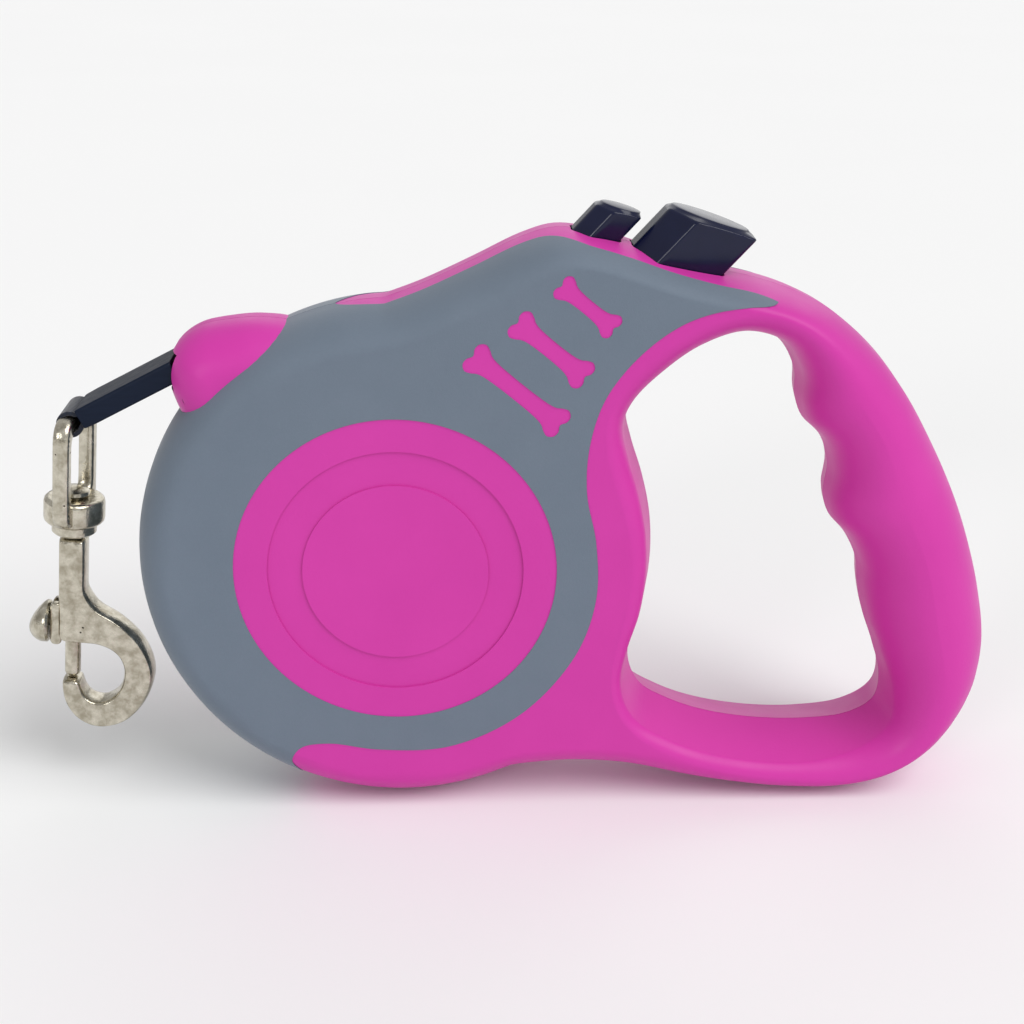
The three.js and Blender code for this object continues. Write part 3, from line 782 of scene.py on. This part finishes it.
def halved(shape, side):
    y = (-30, -SEAM) if side == "front" else (SEAM, 30)
    return shape & block((-120, 160), y, (-90, 110))


def make_casing():
    slots = [button_slot(BRAKE), button_slot(LOCK)]
    field = skin_field(slots)
    shell = casing(field, slots)
    skin = (field & case_solid(-SKIN_PROUD)) - case_solid(SKIN)
    for x, z, seat in SCREWS:
        skin = skin - peg(x, z, HEAD_HOLE, seat, BEYOND)
    for side in ("front", "rear"):
        piece(f"{side}_half", halved(shell, side), CASE, PINK, "casing", [f"{side}_shell"])
        piece(f"{side}_skin", halved(skin, side), CASE, GREY, "casing", [f"{side}_grip_skin"])


# ---- Buttons --------------------------------------------------------------


def button_cap(button):
    """A six-sided column whose top rounds over into an oval thumb pad that follows its slope.

    Each of the shoulders is a ring: its height above the sloping top, how far it has gone from the
    plan to the oval, and its size.
    """
    plan = evenly(full_plan(button), 0.35)
    left, right = plan[:, 0].min(), plan[:, 0].max()
    low_end, high_end = button["top"]
    centre, half_length, half_width = button["pad"]
    lean = np.arctan2(plan[:, 1] / half_width, (plan[:, 0] - centre) / half_length)
    oval = np.c_[centre + half_length * np.cos(lean), half_width * np.sin(lean)]
    shoulders = [
        (-0.6, 0, 1), (-0.22, 0.02, 1), (-0.04, 0.1, 1), (0.08, 0.25, 1), (0.36, 0.75, 1), (0.56, 0.95, 1),
        (0.68, 1, 0.985), (0.74, 1, 0.95), (0.8, 1, 0.85), (0.9, 1, 0.6), (0.96, 1, 0.3),
    ]
    rings = [[(x, y, button["low"]) for x, y in plan]]
    for rise, share, size in shoulders:
        line = plan * (1 - share) + oval * share
        line = (line - (centre, 0)) * size + (centre, 0)
        height = low_end + (high_end - low_end) * (line[:, 0] - left) / (right - left) + rise
        rings.append([(x, y, z) for (x, y), z in zip(line, height)])
    bm = bmesh.new()
    for edges in extruded_rings(bm, rings):
        fill(bm, edges)
    return solid(bm)


def brake_solid():
    """The brake's cap, the pawl below it and the pocket for its spring."""
    pawl = plate([[(-1.4, 61), (-1.4, 45), (-0.5, 42.8), (0.5, 42.8), (1.4, 45), (1.4, 61)]], -6.6, 6.6)
    bottom = 50
    profile = [(0, bottom), (POCKET_RADIUS, bottom), (POCKET_RADIUS, POCKET_TOP), (0, POCKET_TOP)]
    pocket = lathed(profile, 32, Matrix.Translation((SPRING_ACROSS, 0, 0)))
    return (button_cap(BRAKE) | pawl) - pocket


def lock_solid():
    latch = plate([[(-13.5, 54), (-10.8, 54), (-9.1, 55.5), (-9.1, 57), (-13.5, 57)]], -2.5, 2.5)
    return button_cap(LOCK) | latch


def make_return_spring():
    """A spring that the brake button squeezes against the casing."""
    coil = coil_spring(SPRING_RADIUS, SPRING_WIRE, SPRING_LOW, SPRING_HIGH, SPRING_TURNS)
    place = BUTTONS @ Matrix.Translation((SPRING_ACROSS, 0, 0))
    spring = piece("return_spring", coil, place, STEEL, None, ["brake_spring"])
    start = BUTTONS @ Vector((SPRING_ACROSS, 0, SPRING_LOW))
    end = BUTTONS @ Vector((SPRING_ACROSS, 0, SPRING_HIGH))
    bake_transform(spring)


def make_buttons():
    piece("brake_cap", brake_solid(), BUTTONS, NAVY, "brake", ["brake_button"])
    make_return_spring()
    piece("lock_cap", lock_solid(), BUTTONS, NAVY, "lock", ["lock_button"])


# ---- Tape end -------------------------------------------------------------


def ribbon(path, width, thick):
    """A flat strip swept along a path in the x-z plane, carrying the distance run along it."""
    path = np.array(path, float)
    along = np.gradient(path, axis=0)
    along /= np.linalg.norm(along, axis=1)[:, None]
    across = np.c_[-along[:, 1], along[:, 0]]
    half, edge = width / 2, thick / 2
    section = [(-half + 0.15, edge), (half - 0.15, edge), (half, edge * 0.4), (half, -edge * 0.4),
               (half - 0.15, -edge), (-half + 0.15, -edge), (-half, -edge * 0.4), (-half, edge * 0.4)]
    rings = [[(x + out_x * lift, y, z + out_z * lift) for y, lift in section]
             for (x, z), (out_x, out_z) in zip(path, across)]
    run = np.r_[0, np.cumsum(np.linalg.norm(np.diff(path, axis=0), axis=1))]
    bm = bmesh.new()
    for edges in extruded_rings(bm, rings):
        fill(bm, edges)
    layer = bm.verts.layers.float.new("along")
    for vert in bm.verts:
        nearest = np.argmin(np.linalg.norm(path - (vert.co.x, vert.co.z), axis=1))
        vert[layer] = run[nearest] * MM
    return solid(bm)


def loop_path():
    """Down through the sleeve, round the eye's bar, and back."""
    side = 0.48
    circle = arc((EYE_BAR, 0), 2, 143, -143, 40)
    there = spline([(1, side), (8, side), (16, side), (18.4, 0.7), tuple(circle[0])], steps=8)
    back = there[::-1] * (1, -1)
    return np.vstack([there[:-1], circle, back[1:]])


def sleeve_solid():
    """A flat tube with rounded edges, pinched a little at its far end."""
    bm = bmesh.new()
    half_width, rounding, wall = TAPE_WIDTH / 2 + 0.65, 0.55, 0.4
    outside = rounded_box(-half_width, half_width, -SLEEVE_HALF, SLEEVE_HALF, rounding, 6)
    inside = outside * ((half_width - wall) / half_width, (SLEEVE_HALF - wall) / SLEEVE_HALF)
    stations = [
        (0.0, 0.97), (0.25, 1.0),
        (SLEEVE_LENGTH - 2.5, 1.0), (SLEEVE_LENGTH - 0.3, 0.97), (SLEEVE_LENGTH, 0.95),
    ]
    rings = [[(x, y * size, z * size) for y, z in outside] for x, size in stations]
    rings += [[(x, y * size, z * size) for y, z in inside] for x, size in reversed(stations)]
    first, last = extruded_rings(bm, rings)
    bmesh.ops.bridge_loops(bm, edges=first + last)
    return solid(bm)


def make_tape_run():
    """The tape from the top of the reel to the sleeve."""
    knots = [(4, 36.9), (-14, 36.4), (-27, 35.85), (-32, 35.4), (-36, 34.9), (-39.5, 33.85), (-42.4, 32.4)]
    strip = ribbon(spline(knots, steps=10), TAPE_WIDTH, TAPE_THICK)
    run = piece("tape_run", strip, CASE, TAPE_BLACK, None, ["tape_lead"])
    start, end = (CASE @ Vector((x, 0, 35.5)) for x in (-27, -39.5))
    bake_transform(run)


def make_tape_end():
    loop = ribbon(loop_path(), TAPE_WIDTH, 0.76)
    piece("smooth_sleeve", sleeve_solid(), SLEEVE, SLEEVE_BLACK, "tape_end", ["tape_sleeve"])
    piece("woven_loop", loop, SLEEVE, TAPE_BLACK, "tape_end", ["tape_loop"])
    make_tape_run()


# ---- Snap hook, z along it and 0 at the eye's bar ---------------------------


def softened(loops, half, reach, rise, spacing=0.5):
    """A cast plate whose corners are eased and whose edges round over."""
    lines = [calmed(evenly(points, spacing), 5) for points in loops]
    rims = [Rim(line, reach, rise, spacing=spacing, hole=i > 0) for i, line in enumerate(lines)]
    return rounded_plate(rims, half, turns=4)


def eye_solid():
    """A flat-sided loop on a round collar, bored for the hook's stem."""
    frame_loops = [rounded_box(-8.2, 8.2, -19.6, 1.4, 3.6), rounded_box(-5.6, 5.6, -16, -1.35, 2.2)]
    loop = softened(frame_loops, 1.45, 0.7, 1.2)
    loop.item.data.transform(Matrix.Rotation(math.pi / 2, 4, "Z"))
    collar = lathed([(0, -22), (3.6, -22), (4, -21.6), (4, -20.2), (4.6, -19.8), (5, -19.7), (5.35, -19.3),
                     (5.45, -18.8), (5.45, -16.0), (5.3, -15.4), (4.9, -15.05), (4.4, -15), (0, -15)], 64)
    return (loop | collar) - lathed([(0, -30), (1.9, -30), (1.9, -10), (0, -10)], 32)


def hook_outline():
    return np.vstack([
        [(-2.5, -22.6), (2.5, -22.6)],
        spline([(2.5, -33.2), (4.6, -36.2), (8.6, -38.5), (13, -42.8), (15.3, -48.8), (13.8, -55),
                (9.9, -59.6), (5, -60.9), (1.2, -59.3), (-1, -56.2), (-1.7, -53)]),
        [(-1.7, -51.2), (1.8, -51.2)],
        spline([(2, -52.8), (3.3, -54.8), (5.7, -55.4), (8.6, -53.3), (9.8, -49),
                (8.9, -46), (6.9, -44.3), (4.6, -43.6)]),
        [(-1.7, -43.6), (-2.5, -42.8)],
    ])


def hook_solid():
    stem = lathed([(0, -24), (1.6, -24), (1.6, -14.7), (2.5, -14.7), (2.75, -14.4), (2.6, -13.8),
                   (1.9, -13.35), (0, -13.1)], 32)
    guide = softened([rounded_box(-3.9, -1.8, -44.3, -35.8, 0.5)], 2.0, 0.4, 0.4, spacing=0.3)
    body = softened([hook_outline()], 2.6, 0.7, 2.1, spacing=0.4)
    bore = lathed([(0, -45), (1.75, -45), (1.75, -28), (0, -28)], 32)
    thumb_slot = block((-6, -0.5), (-0.8, 0.8), (-41.3, -29.2))
    return (body | stem | guide) - bore - thumb_slot


def bolt_solid():
    """A sprung pin with a thumb knob, whose crown sits low on its disc."""
    pin = lathed([(0, -50.9), (0.95, -50.9), (1.3, -50.6), (1.45, -50.2), (1.45, -35.2), (0, -35.2)], 32)
    neck = block((-4.7, -0.8), (-0.5, 0.5), (-41, -38.2))
    crown = [(0, 0), (3.6, 0), (3.95, 0.35), (3.95, 0.9), (3.7, 1.5), (3.1, 2.3), (2.3, 3.05), (1.3, 3.65),
             (0.6, 3.87), (0, 3.95)]
    knob = lathed(crown, 48)
    rim_height, lean = 0.9, 0.42
    for vert in knob.item.data.vertices:
        vert.co.x -= lean * max(vert.co.z - rim_height, 0)
    knob.item.data.transform(Matrix.Translation((-4.1, 0, -40.3)) @ turned_about_y(-math.pi / 2))
    return pin | neck | knob


def make_hook():
    piece("cast_eye", eye_solid(), EYE, NICKEL, "eye", ["swivel_eye"], sharp=40)
    piece("cast_hook", hook_solid(), HOOK, NICKEL, "hook", ["hook_body"], sharp=40)
    piece("thumb_bolt", bolt_solid(), HOOK, NICKEL, "bolt", ["snap_bolt"], sharp=40)


# ---- Screws and what stays from the frame -----------------------------------


def screw_solid(x, z, seat):
    """A pan-headed screw with a cross recess, entering from the rear."""
    profile = [(0, -7.5), (0.9, -6.5), (1.3, -5), (1.3, seat + 0.3), (2.3, seat + 0.3), (2.5, seat + 0.5),
               (2.5, seat + 1.2), (2.3, seat + 1.7), (1.8, seat + 2.05), (1.1, seat + 2.25), (0, seat + 2.3)]
    place = Matrix.Translation((x, 0, z))
    screw = lathed(profile, 40, place @ Matrix.Rotation(-math.pi / 2, 4, "X"))
    turned = place @ turned_about_y(0.6 + x)
    for half_x, half_z in ((1.45, 0.3), (0.3, 1.45)):
        screw = screw - block((-half_x, half_x), (seat + 1.1, seat + 4), (-half_z, half_z), turned)
    return screw


def make_screws():
    for i, screw in enumerate(SCREWS, start=1):
        shape = screw_solid(*screw)
        piece(f"cross_screw_{i}", shape, CASE, STEEL, "casing", [f"case_screw_{i}"])


def finish_frame_nodes():
    looks = {"axle_pin": STEEL, "bolt_spring": STEEL, "clock_spring": STEEL,
             "reel": REEL_WHITE, "reel_cover": REEL_WHITE, "tape_coil": COILED}
    for name, material in looks.items():
        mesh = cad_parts[name].data
        mesh.materials.clear()
        mesh.materials.append(material)


# ---- Floor, light and camera ----------------------------------------------


def make_floor():
    bm = bmesh.new()
    bmesh.ops.create_grid(bm, x_segments=4, y_segments=4, size=6)
    mesh = bpy.data.meshes.new("floor")
    bm.to_mesh(mesh)
    bm.free()
    floor = bpy.data.objects.new("floor", mesh)
    bpy.context.scene.collection.objects.link(floor)
    finish = Finish("floor_card", specular_ior_level=0.1)
    finish.colour(finish.mixed(finish.noise(300, 2), rgb(0.88, 0.88, 0.88), rgb(0.9, 0.9, 0.9)))
    finish.roughness(0.9 + finish.noise(50, 2) * 0.05)
    mesh.materials.append(finish.material)


def sun(name, strength, spread, azimuth, elevation):
    """Soft parallel light from a compass direction, 0 in front and 90 at the right, and a height."""
    light = bpy.data.lights.new(name, "SUN")
    light.energy = strength
    light.angle = math.radians(spread)
    item = bpy.data.objects.new(name, light)
    a, e = math.radians(azimuth), math.radians(elevation)
    source = Vector((math.sin(a) * math.cos(e), -math.cos(a) * math.cos(e), math.sin(e)))
    item.rotation_euler = source.to_track_quat("Z", "Y").to_euler()
    bpy.context.scene.collection.objects.link(item)


def make_light():
    world = bpy.data.worlds.new("studio")
    bpy.context.scene.world = world
    world.use_nodes = True
    background = world.node_tree.nodes["Background"]
    background.inputs["Color"].default_value = rgb(1, 1, 1)
    background.inputs["Strength"].default_value = 0.5
    sun("key", 1.95, 45, 52, 46)
    sun("edge", 0.45, 14, -34, 18)
    sun("back", 0.4, 50, 172, 24)
    bpy.context.scene.view_settings.view_transform = "Standard"


def make_camera():
    camera = bpy.data.cameras.new("camera")
    camera.lens = 57.55
    camera.sensor_width = 36
    camera.clip_start = 0.01
    item = bpy.data.objects.new("camera", camera)
    item.location = (-0.00891, -0.27896, 0.16253)
    item.rotation_euler = (math.radians(90 - 21.27), 0, math.radians(-1.98))
    bpy.context.scene.collection.objects.link(item)
    bpy.context.scene.camera = item


# ---- Assembly ---------------------------------------------------------------

make_casing()
make_buttons()
make_tape_end()
make_hook()
make_screws()
finish_frame_nodes()
Solid.clear()
make_floor()
make_light()
make_camera()
